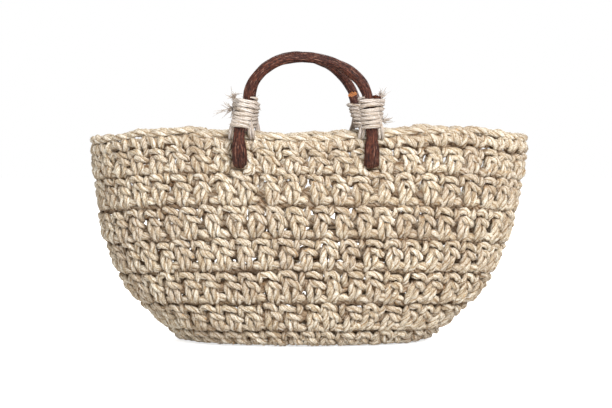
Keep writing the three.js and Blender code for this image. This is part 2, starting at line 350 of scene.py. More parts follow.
# Painted shade on the yarn by its depth in the wall, standing in for how little light reaches it there: 1
# keeps its own colour, 0 gives it the painted inner shade.
PAINTED_SHADE_DEPTHS = [2.8, 4.6, 6.2, 7.4]
PAINTED_SHADES = [1.0, 0.4, 0.05, 0.5]

# One single crochet of the edging round, the strands behind it, and the two loops of its head, which have
# widths of their own.
EDGE_YARN = [
    (-0.12, 0.50, 6.6, 0.65),
    (-0.02, 0.58, 4.6, 0.90),
    (0.10, 0.56, 3.0, 1.15),
    (0.24, 0.42, 2.1, 1.36),
    (0.38, 0.26, 2.0, 1.36),
    (0.48, 0.10, 3.0, 1.10),
    (0.46, 0.00, 6.2, 0.65),
    (0.30, 0.20, 7.2, 0.65),
    (0.55, 0.00, 6.8, 0.65),
    (0.70, -0.02, 5.0, 0.90),
    (0.74, 0.10, 2.9, 1.12),
    (0.75, 0.28, 2.0, 1.30),
    (0.74, 0.46, 2.3, 1.22),
    (0.72, 0.60, 4.4, 0.90),
    (0.80, 0.52, 6.8, 0.65),
]
EDGE_BAR_YARN = [(0.10, 0.36, 3.4, 1.3), (0.60, 0.40, 3.6, 1.3)]
EDGE_BACK_YARN = [
    (0.00, 0.10, 6.9, 1.0),
    (0.25, 0.34, 7.2, 1.0),
    (0.50, 0.12, 6.8, 1.0),
    (0.75, 0.36, 7.2, 1.0),
]
HEAD_FRONT = [(-0.22, 0.70, 5.2), (0.02, 0.75, 3.4), (0.38, 0.82, 2.3), (0.80, 0.83, 2.6), (1.18, 0.77, 4.8)]
HEAD_BACK = [(-0.22, 0.73, 4.8), (0.02, 0.78, 6.2), (0.38, 0.85, 7.0), (0.80, 0.87, 6.6), (1.18, 0.81, 5.0)]
HEAD_WIDTHS = [0.6, 1.0, 1.18, 1.06, 0.65]


def opened(height):
    """How far the outline has opened at a height, from the base, 0, to the mouth, 1."""
    rise = np.clip(height / WALL_HEIGHT, 0, 1)
    corner = (1 - (1 - rise) ** CORNER_FULLNESS) ** CORNER_POWER
    return (1 - STRAIGHT_SHARE) * corner + STRAIGHT_SHARE * height / MOUTH_HEIGHT


def half_length_at(height):
    """Half the length of the body's outline at a height."""
    return (BASE_LENGTH + (MOUTH_LENGTH - BASE_LENGTH) * opened(height)) / 2


def half_depth_at(height):
    """Half the depth of the body's outline at a height."""
    return (BASE_DEPTH + (MOUTH_DEPTH - BASE_DEPTH) * opened(height)) / 2


def sag_at(along, height):
    """How far the yarn hangs below its height at the middle, at a share of the half length."""
    share = height / MOUTH_HEIGHT
    ends = END_SAG * 4 * share * (1 - share) * along**2
    corners = MOUTH_END_DROP * share * along**6
    wave = MOUTH_WAVE * share**3 * np.sin(math.pi * along**1.3) ** 2
    return ends + corners - wave


def plan_reach(turn):
    """How far the plan's outline reaches beyond a circle, which squares its corners a little."""
    c = np.abs(np.cos(turn))
    s = np.abs(np.sin(turn))
    return (c**PLAN_POWER + s**PLAN_POWER) ** (-1 / PLAN_POWER)


def wall_point(turn, step):
    """Points on the outside of the body, in millimetres. The step grows with the root of the height."""
    height = step**2 * WALL_HEIGHT
    reach = plan_reach(turn)
    along = np.abs(np.cos(turn)) * reach
    x = half_length_at(height) * np.cos(turn) * reach - SIDE_LEAN * (1 - height / MOUTH_HEIGHT)
    y = half_depth_at(height) * np.sin(turn) * reach
    return np.stack([x, y, height - sag_at(along, height)], axis=-1)


def wall_inside(turn, step, depth):
    """Points a depth in millimetres inside the outer surface of the body."""
    low = np.maximum(step - SMALL_STEP, 0)
    up = wall_point(turn, step + SMALL_STEP) - wall_point(turn, low)
    around = wall_point(turn + SMALL_STEP, step) - wall_point(turn - SMALL_STEP, step)
    outward = np.cross(around, up)
    outward /= np.linalg.norm(outward, axis=-1, keepdims=True)
    return wall_point(turn, step) - outward * depth[..., None]


def even_turns(step, shares):
    """Turns at even lengths of yarn round the body, for shares of the whole way round."""
    turns = np.linspace(0, 2 * math.pi, OUTLINE_SAMPLES)
    points = wall_point(turns, np.full_like(turns, step))
    lengths = np.concatenate([[0], np.cumsum(np.linalg.norm(np.diff(points, axis=0), axis=1))])
    whole = np.floor(shares)
    return whole * 2 * math.pi + np.interp((shares - whole) * lengths[-1], lengths, turns)


def base_point(turn, out, depth):
    """Points of the flat base, from its middle line, 0, to its outline, 1."""
    outline = wall_point(turn, np.zeros_like(turn))
    middle_x = -SIDE_LEAN + (outline[..., 0] + SIDE_LEAN) * (BASE_LENGTH - BASE_DEPTH) / BASE_LENGTH
    x = middle_x + (outline[..., 0] - middle_x) * out
    return np.stack([x, outline[..., 1] * out, depth], axis=-1)


def mouth_edge_at(x):
    """The height of the mouth's edge at a place along the bag."""
    along = min(abs(x) / half_length_at(MOUTH_HEIGHT), 1)
    return float(MOUTH_HEIGHT - sag_at(along, MOUTH_HEIGHT))


def wall_depth_at(x, height):
    """How far the outside of the wall is from the bag's middle line, at a place along it and a height."""
    along = min(abs(x) / half_length_at(height), 1)
    return float(half_depth_at(height) * (1 - along**PLAN_POWER) ** (1 / PLAN_POWER))


def seat_of(handle):
    """Where a handle's leg stands outside the wall and its stub inside, and the bend that joins them."""
    leg_x = LEG_SPACING / 2
    near_x = leg_x - abs(HANDLE_SHIFT)
    far_x = leg_x + abs(HANDLE_SHIFT)
    edge = mouth_edge_at(leg_x)
    foot = edge - HOOK_DEPTH
    outside = max(wall_depth_at(near_x, WALL_HEIGHT), wall_depth_at(near_x, MOUTH_HEIGHT))
    leg = outside + GROOVE_DEPTH / 2 + CANE_CLEARANCE + CANE_DIAMETER / 2
    stub = wall_depth_at(far_x, foot) - WALL_THICKNESS - CANE_CLEARANCE - CANE_DIAMETER / 2
    radius = (leg - stub) / 2
    lash_radius = CANE_DIAMETER / 2 + LASH_CLEARANCE + TWINE_DIAMETER / 2
    highest = max(mouth_edge_at(leg_x - lash_radius), mouth_edge_at(far_x + 2 * lash_radius))
    lash_foot = highest + LASH_CLEARANCE + TWINE_DIAMETER / 2
    side = handle["side"]
    return {
        "leg_x": leg_x,
        "lash_foot": lash_foot,
        "lash_top": lash_foot + handle["lash_turns"] * LASH_PITCH,
        "edge": edge,
        "leg_y": side * leg,
        "stub_y": side * stub,
        "stub_top_y": side * (leg - CANE_DIAMETER - STUB_GAP),
        "bend_y": side * (leg + stub) / 2,
        "bend_radius": radius,
        "bend_z": foot + HOOK_THICKNESS / 2 + radius,
        "arch_start": edge + ARCH_START,
    }


def leg_line(handle, end):
    """Half of a handle's middle line, from its stub's cut end, through the wall and up to the arch."""
    seat = seat_of(handle)
    x = seat["leg_x"] * (-1 if end == "left" else 1) + HANDLE_SHIFT
    stub = handle["stubs"][end]
    top = np.array([x + stub["lean"], seat["stub_top_y"], seat["lash_top"] + stub["proud"]])
    foot = np.array([x, seat["stub_y"], seat["edge"]])
    points = [top + (foot - top) * share for share in (0, 1 / 3, 2 / 3, 1)]
    for i in range(BEND_KNOTS + 1):
        turn = i / BEND_KNOTS * math.pi
        y = seat["bend_y"] + math.cos(turn) * (seat["stub_y"] - seat["bend_y"])
        points.append(np.array([x, y, seat["bend_z"] - math.sin(turn) * seat["bend_radius"]]))
    points.append(np.array([x, seat["leg_y"], seat["edge"]]))
    return points


def cane_knots(handle):
    """The points of a handle's middle line, from the left stub over the arch to the right stub."""
    seat = seat_of(handle)
    arch = handle["arch"]
    knots = []
    for i in range(ARCH_KNOTS + 1):
        turn = math.pi - i / ARCH_KNOTS * math.pi
        share = math.sin(turn)
        lean = arch["lean"] * max(share, 0) ** arch["power"]
        x = math.cos(turn) * (seat["leg_x"] - LEG_INSET) + arch["shift"] + lean
        knots.append(np.array([x, seat["leg_y"], seat["arch_start"] + share * arch["rise"]]))
    return leg_line(handle, "left") + knots + leg_line(handle, "right")[::-1]


def smooth_line(knots, steps):
    """A centripetal curve through knots, with a number of steps between each two."""
    knots = [2 * knots[0] - knots[1], *knots, 2 * knots[-1] - knots[-2]]
    line = []
    for a, b, c, d in zip(knots, knots[1:], knots[2:], knots[3:]):
        ab, bc, cd = (math.sqrt(np.linalg.norm(q - p)) for p, q in ((a, b), (b, c), (c, d)))
        start = ((b - a) / ab - (c - a) / (ab + bc) + (c - b) / bc) * bc
        finish = ((c - b) / bc - (d - b) / (bc + cd) + (d - c) / cd) * bc
        second = 3 * (c - b) - 2 * start - finish
        third = start + finish - 2 * (c - b)
        for i in range(steps):
            t = i / steps
            line.append(b + start * t + second * t**2 + third * t**3)
    line.append(knots[-2])
    return np.array(line)


def hook_share(seat, z):
    """How far the cane is flattened and widened: 0 above the mouth, 1 in the bend."""
    start = seat["edge"] - HOOK_TAPER_DEPTH
    share = min(max((start - z) / (start - seat["bend_z"]), 0), 1)
    return share * share * (3 - 2 * share)


def add_object(name, data):
    """A new object in the scene, at the origin."""
    thing = bpy.data.objects.new(name, data)
    bpy.context.scene.collection.objects.link(thing)
    return thing


def set_inputs(tree, node, inputs):
    """Links each input of a node, by name or number, to a socket, or sets it to a value."""
    for key, value in inputs.items():
        if isinstance(value, bpy.types.NodeSocket):
            tree.links.new(value, node.inputs[key])
        else:
            node.inputs[key].default_value = value


def add_node(tree, kind, inputs, **options):
    """A new node with its options and inputs set."""
    node = tree.nodes.new(kind)
    for option, value in options.items():
        setattr(node, option, value)
    set_inputs(tree, node, inputs)
    return node


def math_node(tree, operation, first, second=None):
    inputs = {0: first} if second is None else {0: first, 1: second}
    return add_node(tree, "ShaderNodeMath", inputs, operation=operation).outputs[0]


def noise_node(tree, vector, scale, detail=2.0, roughness=0.5):
    inputs = {"Vector": vector, "Scale": scale, "Detail": detail, "Roughness": roughness}
    return add_node(tree, "ShaderNodeTexNoise", inputs).outputs[0]


def stored(tree, geometry, name, value, kind="FLOAT"):
    """The geometry, with a value of each of its points kept under a name."""
    inputs = {"Geometry": geometry, "Name": name, "Value": value}
    return add_node(tree, "GeometryNodeStoreNamedAttribute", inputs, data_type=kind).outputs["Geometry"]


def position(tree):
    return add_node(tree, "GeometryNodeInputPosition", {}).outputs[0]


def scaled(tree, vector, factor):
    return add_node(tree, "ShaderNodeVectorMath", {0: vector, "Scale": factor}, operation="SCALE").outputs[0]


def centred(tree, value):
    """Noise, which runs from 0 to 1, as a value that lies mostly between -1 and 1."""
    return math_node(tree, "MULTIPLY", math_node(tree, "SUBTRACT", value, 0.5), 4)


def twisted_lines(tree, start):
    """The lines as smooth curves in even steps, which keep their length and tilt as the plies turn."""
    line = add_node(tree, "GeometryNodeMeshToCurve", {"Mesh": start["Geometry"]}).outputs[0]
    smooth = {"Curve": line}
    curve = add_node(tree, "GeometryNodeCurveSplineType", smooth, spline_type="CATMULL_ROM").outputs[0]
    even = {"Curve": curve, "Length": start["Step"]}
    curve = add_node(tree, "GeometryNodeResampleCurve", even, mode="LENGTH").outputs[0]
    length = add_node(tree, "GeometryNodeSplineParameter", {}).outputs["Length"]
    curve = stored(tree, curve, "along", length)
    turns = math_node(tree, "DIVIDE", length, start["Twist length"])
    twist = {"Curve": curve, "Tilt": math_node(tree, "MULTIPLY", turns, 2 * math.pi)}
    return add_node(tree, "GeometryNodeSetCurveTilt", twist).outputs[0]


def strand_widths(tree, start):
    """The width that each point of a line asks for, made uneven along the strand."""
    inputs = {"Vector": position(tree), "W": start["Seed"], "Scale": 130, "Detail": 3}
    uneven = add_node(tree, "ShaderNodeTexNoise", inputs, noise_dimensions="4D").outputs[0]
    change = math_node(tree, "MULTIPLY", centred(tree, uneven), start["Unevenness"])
    asked = add_node(tree, "GeometryNodeInputNamedAttribute", {"Name": "width"}, data_type="FLOAT")
    return math_node(tree, "MULTIPLY", math_node(tree, "ADD", change, 1), asked.outputs[0])


def ply_section(tree, start):
    """The section of a strand: a circle with a groove between each two plies."""
    sides = math_node(tree, "MULTIPLY", start["Plies"], start["Points per ply"])
    round_line = {"Resolution": sides, "Radius": 1}
    circle = add_node(tree, "GeometryNodeCurvePrimitiveCircle", round_line).outputs["Curve"]
    circle = stored(tree, circle, "around", position(tree), "FLOAT_VECTOR")
    index = add_node(tree, "GeometryNodeInputIndex", {}).outputs[0]
    turn = math_node(tree, "MULTIPLY", math_node(tree, "DIVIDE", index, start["Points per ply"]), math.pi)
    crown = math_node(tree, "ABSOLUTE", math_node(tree, "COSINE", turn))
    # The crown also sets the painted shade in the grooves between the plies.
    circle = stored(tree, circle, "crown", crown)
    fall = math_node(tree, "MULTIPLY", math_node(tree, "SUBTRACT", 1, crown), start["Ply groove"])
    half = math_node(tree, "MULTIPLY", start["Thickness"], 0.5)
    reach = math_node(tree, "MULTIPLY", math_node(tree, "SUBTRACT", 1, fall), half)
    section = {"Geometry": circle, "Position": scaled(tree, position(tree), reach)}
    return add_node(tree, "GeometryNodeSetPosition", section).outputs[0]


def roughened(tree, start, mesh):
    """The strands with small bumps of fibre on their surface, shaded smooth."""
    grain = noise_node(tree, position(tree), scale=520, detail=1)
    rise = math_node(tree, "MULTIPLY", centred(tree, grain), start["Roughness"])
    offset = scaled(tree, add_node(tree, "GeometryNodeInputNormal", {}).outputs[0], rise)
    rough = add_node(tree, "GeometryNodeSetPosition", {"Geometry": mesh, "Offset": offset}).outputs[0]
    return add_node(tree, "GeometryNodeSetShadeSmooth", {"Geometry": rough}).outputs[0]


def plied_yarn_tree(sizes):
    """Turns each line of edges into a twisted strand of a few plies. The sizes are its first defaults."""
    tree = bpy.data.node_groups.new("Plied yarn", "GeometryNodeTree")
    tree.interface.new_socket("Geometry", in_out="OUTPUT", socket_type="NodeSocketGeometry")
    tree.interface.new_socket("Geometry", in_out="INPUT", socket_type="NodeSocketGeometry")
    tree.interface.new_socket("Material", in_out="INPUT", socket_type="NodeSocketMaterial")
    for name, size in {**sizes, "Seed": STRAND_SEED}.items():
        kind = "NodeSocketInt" if isinstance(size, int) else "NodeSocketFloat"
        tree.interface.new_socket(name, in_out="INPUT", socket_type=kind).default_value = size
    start = tree.nodes.new("NodeGroupInput").outputs
    sweep = {
        "Curve": twisted_lines(tree, start),
        "Profile Curve": ply_section(tree, start),
        "Scale": strand_widths(tree, start),
        "Fill Caps": True,
    }
    mesh = add_node(tree, "GeometryNodeCurveToMesh", sweep).outputs["Mesh"]
    rough = roughened(tree, start, mesh)
    real = add_node(tree, "GeometryNodeRealizeInstances", {"Geometry": rough}).outputs[0]
    finish = {"Geometry": real, "Material": start["Material"]}
    finished = add_node(tree, "GeometryNodeSetMaterial", finish).outputs[0]
    add_node(tree, "NodeGroupOutput", {"Geometry": finished})
    return tree


def line_mesh(name, lines):
    """A mesh of edges along lines, each of which has points, and their widths and painted shade."""
    vertices = []
    edges = []
    widths = []
    shades = []
    for points, width, shade in lines:
        first = len(vertices)
        vertices.extend(points * MM)
        widths.extend(np.broadcast_to(width, len(points)))
        shades.extend(np.broadcast_to(shade, len(points)))
        edges.extend((first + i, first + i + 1) for i in range(len(points) - 1))
    mesh = bpy.data.meshes.new(name)
    mesh.from_pydata(vertices, edges, [])
    for kind, values in (("width", widths), ("shade", shades)):
        mesh.attributes.new(kind, "FLOAT", "POINT").data.foreach_set("value", np.array(values, np.float32))
    return mesh


def plied(name, lines, material, sizes):
    """A piece of yarn or twine, as a plain mesh that Geometry Nodes make from its lines."""
    guide = line_mesh(name + "_lines", lines)
    holder = add_object(name + "_lines", guide)
    modifier = holder.modifiers.new("Plied yarn", "NODES")
    modifier.node_group = bpy.data.node_groups.get("Plied yarn") or plied_yarn_tree(sizes)
    values = {**sizes, "Material": material}
    for item in modifier.node_group.interface.items_tree:
        if item.in_out == "INPUT" and item.name in values:
            modifier[item.identifier] = values[item.name]
    graph = bpy.context.evaluated_depsgraph_get()
    mesh = bpy.data.meshes.new_from_object(holder.evaluated_get(graph), depsgraph=graph)
    holder.modifiers.clear()
    bpy.data.objects.remove(holder)
    bpy.data.meshes.remove(guide)
    mesh.name = name
    return add_object(name, mesh)


def cane_lines():
    """The middle line of each handle's cane, by the handle's name."""
    return {handle["name"]: smooth_line(cane_knots(handle), CANE_STEPS) for handle in HANDLES}


def part_round_canes(lines, canes, thickness):
    """Moves yarn aside where a cane passes through the wall."""
    return [(moved_aside(points, canes, thickness), *rest) for points, *rest in lines]


def moved_aside(points, canes, thickness):
    """Points of yarn, moved clear of the canes by half the yarn's thickness."""
    moved = points.copy()
    for handle in HANDLES:
        seat = seat_of(handle)
        line = canes[handle["name"]]
        widening = np.array([hook_share(seat, point[2]) for point in line])
        radii = (CANE_DIAMETER + (HOOK_WIDTH - CANE_DIAMETER) * widening) / 2
        room = thickness / 2 + CANE_CLEARANCE / 2
        legs = np.array([[-1, 1]]) * seat["leg_x"] + HANDLE_SHIFT
        beside = np.min(np.abs(moved[:, None, 0] - legs), axis=1)
        for i in np.nonzero(beside < CANE_DIAMETER + thickness)[0]:
            gaps = np.linalg.norm(line - moved[i], axis=1) - radii
            closest = int(np.argmin(gaps))
            lack = room - gaps[closest]
            if lack > 0:
                away = moved[i] - line[closest]
                away[1] *= ASIDE_THROUGH_WALL
                moved[i] += away / max(np.linalg.norm(away), NEAR_MIDDLE) * lack
    return moved


def laid_on_floor(lines, thickness):
    """Lifts yarn that would sink through the plane that the bag stands on."""
    for points, widths, _ in lines:
        points[:, 2] = np.maximum(points[:, 2], thickness * widths / 2 * FLOOR_ROOM)
    return lines


def stray(rng, most):
    return rng.uniform(-most, most)


def stitch_lines(pattern, count, place, rng, first=0, last=None):
    """The yarn of a run of stitches, through the points of a pattern, each stitch a little different."""
    points = []
    widths = []
    for n in range(first, count if last is None else last):
        shift = stray(rng, STITCH_SHIFT)
        lift = stray(rng, STITCH_LIFT)
        spread = rng.uniform(*STITCH_SPREAD)
        slant = stray(rng, STITCH_SLANT)
        droop = stray(rng, STITCH_DROOP)
        for across, up, depth, width in pattern:
            droops = droop * (across - 0.5) * math.sin(math.pi * min(max(up, 0), 1))
            across = 0.5 + (across - 0.5) * spread + shift + slant * (up - 0.5) + stray(rng, STRAY_ACROSS)
            up = up + lift + 2 * droops + stray(rng, STRAY_UP)
            points.append(((n + across) / count, up, depth + stray(rng, STRAY_DEPTH)))
            widths.append(width)
    shares, ups, depths = np.array(points).T
    # The last values are painted shade, darker by depth in the wall.
    return place(shares, ups, depths), np.array(widths), np.interp(depths, PAINTED_SHADE_DEPTHS, PAINTED_SHADES)


def round_patterns(filled):
    """The strands of a round of double crochet, from the outside of the wall in."""
    filling = [FILL_YARN] if filled else []
    return [STITCH_YARN, BAR_YARN, BACK_YARN, *filling, SEAM_YARN]


def tucked(points):
    """Draws the yarn in at the two ends of the body, where it is pulled tight."""
    x, z = points[:, 0], points[:, 2]
    along = np.abs(x) / half_length_at(np.clip(z, 0, MOUTH_HEIGHT))
    at_end = np.clip((along - TUCK_START) / TUCK_SPAN, 0, 1)
    left = np.interp(z, END_TUCK_HEIGHTS, LEFT_TUCK)
    right = np.interp(z, END_TUCK_HEIGHTS, RIGHT_TUCK)
    points[:, 0] += at_end**2 * np.where(x < 0, left, -right)
    return points


def round_place(low, high):
    """Gives the function that places a stitch's across, up and depth on the wall between two heights."""
    low_step = math.sqrt(low / WALL_HEIGHT)
    high_step = math.sqrt(high / WALL_HEIGHT)

    def place(shares, ups, depths):
        step = low_step + (high_step - low_step) * ups
        turn = even_turns((low_step + high_step) / 2, shares)
        return tucked(wall_inside(turn, np.maximum(step, 0), depths))

    return place


def base_place(inner, outer):
    """Gives the function that places a stitch on the base, between two shares of its outline."""

    def place(shares, ups, depths):
        turn = even_turns(0.0, shares)
        out = np.clip(inner + (outer - inner) * ups, BASE_MIDDLE, 1)
        return base_point(turn, out, depths)

    return place


def edging_shift(x):
    """How far the edging is pulled up or down along the mouth, in millimetres."""
    tilt = EDGING_TILT * x / (MOUTH_LENGTH / 2)
    return tilt - EDGING_DIP["depth"] * np.exp(-((x / EDGING_DIP["half_length"]) ** 2))


def ramp_node(tree, value, stops):
    """A colour for each value, between stops that have a place and a colour."""
    node = add_node(tree, "ShaderNodeValToRGB", {0: value})
    while len(node.color_ramp.elements) < len(stops):
        node.color_ramp.elements.new(0.5)
    for element, (place, colour) in zip(node.color_ramp.elements, stops):
        element.position = place
        element.color = (*colour, 1)
    return node.outputs[0]


def mix_node(tree, share, first, second, blend="MIX"):
    """A mix of a linked colour with another, which is linked or a plain colour."""
    inputs = {0: share, 6: first, 7: (*second, 1) if isinstance(second, tuple) else second}
    return add_node(tree, "ShaderNodeMix", inputs, data_type="RGBA", blend_type=blend).outputs[2]


def grey(level):
    return (level, level, level)


def attribute_node(tree, name, output="Fac"):
    return add_node(tree, "ShaderNodeAttribute", {}, attribute_name=name).outputs[output]


def object_place(tree):
    return add_node(tree, "ShaderNodeTexCoord", {}).outputs["Object"]


def strand_vector(tree, across, along):
    """A pattern's place on a strand or cane: round its section and along its length."""
    around = attribute_node(tree, "around", "Vector")
    parts = add_node(tree, "ShaderNodeSeparateXYZ", {0: around}).outputs
    inputs = {
        0: math_node(tree, "MULTIPLY", parts[0], across),
        1: math_node(tree, "MULTIPLY", parts[1], across),
        2: math_node(tree, "MULTIPLY", attribute_node(tree, "along"), along),
    }
    return add_node(tree, "ShaderNodeCombineXYZ", inputs).outputs[0]


def strand_noise(tree, across, along, detail, roughness=0.5):
    return noise_node(tree, strand_vector(tree, across, along), 1.0, detail, roughness)


def linear(colour):
    """A screen colour as the linear values that a shader works with."""
    return tuple(c / 12.92 if c <= 0.04045 else ((c + 0.055) / 1.055) ** 2.4 for c in colour)


def new_material(name):
    """A new material, its tree and its shader."""
    material = bpy.data.materials.new(name)
    material.use_nodes = True
    return material, material.node_tree, material.node_tree.nodes["Principled BSDF"]


def bump_node(tree, height, strength, distance):
    inputs = {"Height": height, "Strength": strength, "Distance": distance}
    return add_node(tree, "ShaderNodeBump", inputs).outputs[0]


def yarn_material(name, relief, pale, middle, deep, groove, grit, fleck, shade):
    """Matte plant fibre: light and dark fibres along the plies, with painted shade in the grooves between
    plies and on yarn deep inside the wall.
    """
    material, tree, shader = new_material(name)
    place = object_place(tree)
    fibre = strand_noise(tree, across=8.0, along=130.0, detail=3.0, roughness=0.7)
    streak = strand_noise(tree, across=1.1, along=30.0, detail=2.0)
    patch = noise_node(tree, place, scale=34.0)
    specks = noise_node(tree, place, scale=900.0)
    colour = ramp_node(tree, fibre, [(0.38, linear(deep)), (0.5, linear(middle)), (0.60, linear(pale))])
    for value, low, dim, high in (
        (patch, 0.35, (0.90, 0.88, 0.87), 0.65),
        (streak, 0.34, (0.84, 0.80, 0.74), 0.6),
        (specks, 0.36, grit, 0.54),
        # Painted shade: the grooves between the plies and the yarn deep inside the wall are darkened.
        (attribute_node(tree, "crown"), 0.0, groove, 0.5),
        (attribute_node(tree, "shade"), 0.0, shade, 1.0),
    ):
        tint = ramp_node(tree, value, [(low, linear(dim)), (high, grey(1.0))])
        colour = mix_node(tree, 1.0, colour, tint, "MULTIPLY")
    spots = noise_node(tree, place, scale=260.0, detail=1.0)
    share = ramp_node(tree, spots, [(0.70, grey(0.0)), (0.80, grey(0.7))])
    finish = {
        "Base Color": mix_node(tree, share, colour, linear(fleck)),
        "Roughness": 0.9,
        "Specular IOR Level": 0.2,
        "Normal": bump_node(tree, fibre, strength=0.8, distance=relief),
    }
    set_inputs(tree, shader, finish)
    return material


def cane_material(name, bark, worn, dark, scuff):
    """Dark bark: long wrinkles, short cracks across them, red-brown wear on the crests and pale scuffs."""
    material, tree, shader = new_material(name)
    grain = strand_noise(tree, across=6.5, along=90.0, detail=4.0, roughness=0.65)
    cracks = strand_noise(tree, across=3.0, along=420.0, detail=3.0, roughness=0.7)
    scratches = strand_noise(tree, across=5.0, along=150.0, detail=2.0, roughness=0.6)
    patch = noise_node(tree, object_place(tree), scale=60.0, detail=3.0)
    long_part = math_node(tree, "MULTIPLY", grain, 0.55)
    relief = math_node(tree, "ADD", long_part, math_node(tree, "MULTIPLY", cracks, 0.45))
    colour = ramp_node(tree, relief, [(0.41, linear(dark)), (0.5, linear(bark)), (0.62, linear(worn))])
    tone = ramp_node(tree, patch, [(0.3, linear((0.72, 0.66, 0.66))), (0.7, grey(1.0))])
    colour = mix_node(tree, 1.0, colour, tone, "MULTIPLY")
    share = ramp_node(tree, scratches, [(0.61, grey(0.0)), (0.69, grey(0.6))])
    finish = {
        "Base Color": mix_node(tree, share, colour, linear(scuff)),
        "Roughness": ramp_node(tree, relief, [(0.42, grey(0.7)), (0.6, grey(0.38))]),
        "Specular IOR Level": 0.18,
        "Normal": bump_node(tree, relief, strength=0.9, distance=BARK_RELIEF),
    }
    set_inputs(tree, shader, finish)
    return material


def cut_material(name, wood, dark):
    """The open grain of a cut cane end."""
    material, tree, shader = new_material(name)
    pores = noise_node(tree, object_place(tree), scale=1100.0)
    colour = ramp_node(tree, pores, [(0.42, linear(dark)), (0.56, linear(wood))])
    set_inputs(tree, shader, {"Base Color": colour, "Roughness": 0.7})
    return material


def seen_by_eye(tree):
    """1 for rays from the camera and rays that show a reflection or pass through glass, else 0."""
    path = add_node(tree, "ShaderNodeLightPath", {}).outputs
    seen = math_node(tree, "MAXIMUM", path["Is Camera Ray"], path["Is Glossy Ray"])
    return math_node(tree, "MAXIMUM", seen, path["Is Transmission Ray"])


def backdrop_material(name, glow):
    """White for the camera and for reflections, with the shadow that falls on it."""
    material, tree, shader = new_material(name)
    finish = {
        "Base Color": (0.8, 0.8, 0.8, 1),
        "Roughness": 0.9,
        "Specular IOR Level": 0.0,
        "Emission Color": (1, 1, 1, 1),
        "Emission Strength": math_node(tree, "MULTIPLY", seen_by_eye(tree), glow),
    }
    set_inputs(tree, shader, finish)
    return material


def length_setting(name, description, default):
    """A length in metres that a user may change."""
    return bpy.props.FloatProperty(name=name, description=description, default=default, unit="LENGTH")


def colour_setting(name, description, default):
    """A colour that a user may change."""
    return bpy.props.FloatVectorProperty(
        name=name, description=description, default=default, subtype="COLOR", size=3
    )


def power_setting(name, description, default):
    """A lamp's power in watts that a user may change."""
    return bpy.props.FloatProperty(name=name, description=description, default=default, unit="POWER")


class BagYarn(bpy.types.PropertyGroup):
    """Yarn of the crocheted body."""

    thickness: length_setting("Yarn thickness", "Width of the plied yarn", 0.0053)
    twist: length_setting("Twist length", "Length of yarn in which its plies turn once", 0.027)
    step: length_setting("Step", "Distance between two rings of the yarn's surface", 0.0019)
    seed: bpy.props.IntProperty(name="Seed", description="Sets how the stitches differ", default=7)
    pale: colour_setting("Pale fibre", "Colour of the lightest fibres", (0.955, 0.948, 0.915))
    middle: colour_setting("Fibre", "Main colour of the yarn", (0.915, 0.888, 0.825))
    deep: colour_setting("Deep fibre", "Colour between the fibres", (0.76, 0.68, 0.56))
    # Painted shade in the grooves between the plies.
    groove: colour_setting("Ply groove", "Tint between the plies", (0.71, 0.62, 0.51))
    grit: colour_setting("Grit", "Tint of the small dark specks", (0.80, 0.74, 0.66))
    fleck: colour_setting("Fleck", "Colour of the few husk flecks", (0.76, 0.60, 0.40))
    # Painted shade: the colour that yarn deep inside the wall is darkened towards.
    shade: colour_setting("Inner shade", "Tint of yarn inside the wall", (0.62, 0.48, 0.32))


class BagCane(bpy.types.PropertyGroup):
    """Cane of the handles."""

    ring: length_setting("Ring spacing", "Distance between two rings of the cane's surface", 0.0011)
    sides: bpy.props.IntProperty(name="Sides", description="Faces round the cane", default=40)
    wrinkle: length_setting("Wrinkle depth", "Depth of the bark's long wrinkles", 0.0007)
    bark: colour_setting("Bark", "Main colour of the bark", (0.26, 0.125, 0.083))
    worn: colour_setting("Worn bark", "Colour where the bark is worn", (0.43, 0.24, 0.165))
    dark: colour_setting("Dark bark", "Colour in the wrinkles", (0.095, 0.045, 0.038))
    scuff: colour_setting("Scuffed bark", "Colour of the pale scuffs", (0.60, 0.445, 0.375))
    cut: colour_setting("Cut wood", "Colour of the cut ends", (0.78, 0.49, 0.25))


class BagTwine(bpy.types.PropertyGroup):
    """Twine of the lashings."""

    thickness: length_setting("Twine thickness", "Width of the twine", 0.0037)
    twist: length_setting("Twist length", "Length of twine in which its plies turn once", 0.045)
    seed: bpy.props.IntProperty(name="Seed", description="Sets how the ends fray", default=3)
    pale: colour_setting("Pale fibre", "Colour of the lightest fibres", (0.905, 0.895, 0.885))
    middle: colour_setting("Fibre", "Main colour of the twine", (0.845, 0.82, 0.80))
    deep: colour_setting("Deep fibre", "Colour between the fibres", (0.74, 0.685, 0.64))
    # Painted shade in the grooves between the plies.
    groove: colour_setting("Ply groove", "Tint between the plies", (0.76, 0.71, 0.65))
    grit: colour_setting("Grit", "Tint of the small dark specks", (0.88, 0.85, 0.81))


class BagStage(bpy.types.PropertyGroup):
    """Studio round the bag."""

    lens: bpy.props.FloatProperty(
        name="Lens", description="Focal length of the camera in millimetres", default=93.06, unit="CAMERA"
    )
    key: power_setting("Key light", "Power of the main lamp in watts", 53.0)
    fill: power_setting("Fill light", "Power of the left lamp in watts", 8.0)
    back: power_setting("Back light", "Power of the lamp behind in watts", 34.0)
    sky: bpy.props.FloatProperty(name="Sky", description="Strength of the light from all round", default=0.5)


class BasketBag(bpy.types.PropertyGroup):
    """Settings of the whole bag."""

    yarn: bpy.props.PointerProperty(type=BagYarn, name="Yarn", description="Yarn of the body")
    cane: bpy.props.PointerProperty(type=BagCane, name="Cane", description="Cane of the handles")
    twine: bpy.props.PointerProperty(type=BagTwine, name="Twine", description="Twine of the lashings")
    stage: bpy.props.PointerProperty(type=BagStage, name="Stage", description="Studio round the bag")


def colours_of(settings, *names):
    return [tuple(getattr(settings, name)) for name in names]


